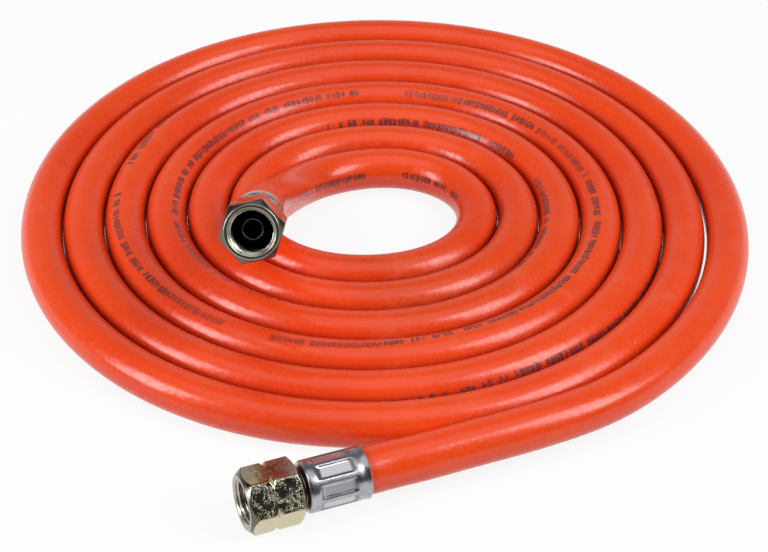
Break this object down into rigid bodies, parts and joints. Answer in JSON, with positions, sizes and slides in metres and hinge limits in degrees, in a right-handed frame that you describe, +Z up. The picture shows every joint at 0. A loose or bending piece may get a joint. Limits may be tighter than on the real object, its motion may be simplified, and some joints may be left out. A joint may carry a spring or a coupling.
{
  "type": "low-pressure flexible gas hose",
  "caption": "Orange rubber gas hose laid in a flat coil, with a crimped ferrule, a nipple and a swivelling left-hand union nut on each end.",
  "frame": {"origin": "middle of the whole hose's footprint, on the surface that it lies on", "axes": "+Z up from the surface that the coil lies on; -Y towards the side where the outer end leaves the coil; +X to the right seen from there"},
  "size_m": [0.2388, 0.2566, 0.0691],
  "materials": {
    "hose_rubber": "satin orange",
    "nut_zinc": "yellowish zinc plate",
    "nipple_steel": "turned",
    "ferrule_steel": "crimped, bright"
  },
  "bodies": {
    "hose_body": {"hose": "hose_rubber", "outer_nipple": "nipple_steel", "outer_ferrule": "ferrule_steel", "inner_nipple": "nipple_steel", "inner_ferrule": "ferrule_steel"},
    "outer_nut": {"outer_union_nut": "nut_zinc"},
    "inner_nut": {"inner_union_nut": "nut_zinc"}
  },
  "joints": [
    {"name": "outer_nut_swivel", "type": "hinge", "parent": "hose_body", "child": "outer_nut", "pos_m": [-0.03026, -0.11698, 0.0101], "axis": [-0.919, -0.392, 0.0419], "continuous": true},
    {"name": "inner_nut_swivel", "type": "hinge", "parent": "hose_body", "child": "inner_nut", "pos_m": [-0.03686, -0.05757, 0.05772], "axis": [0.015, -0.857, 0.515], "continuous": true}
  ]
}
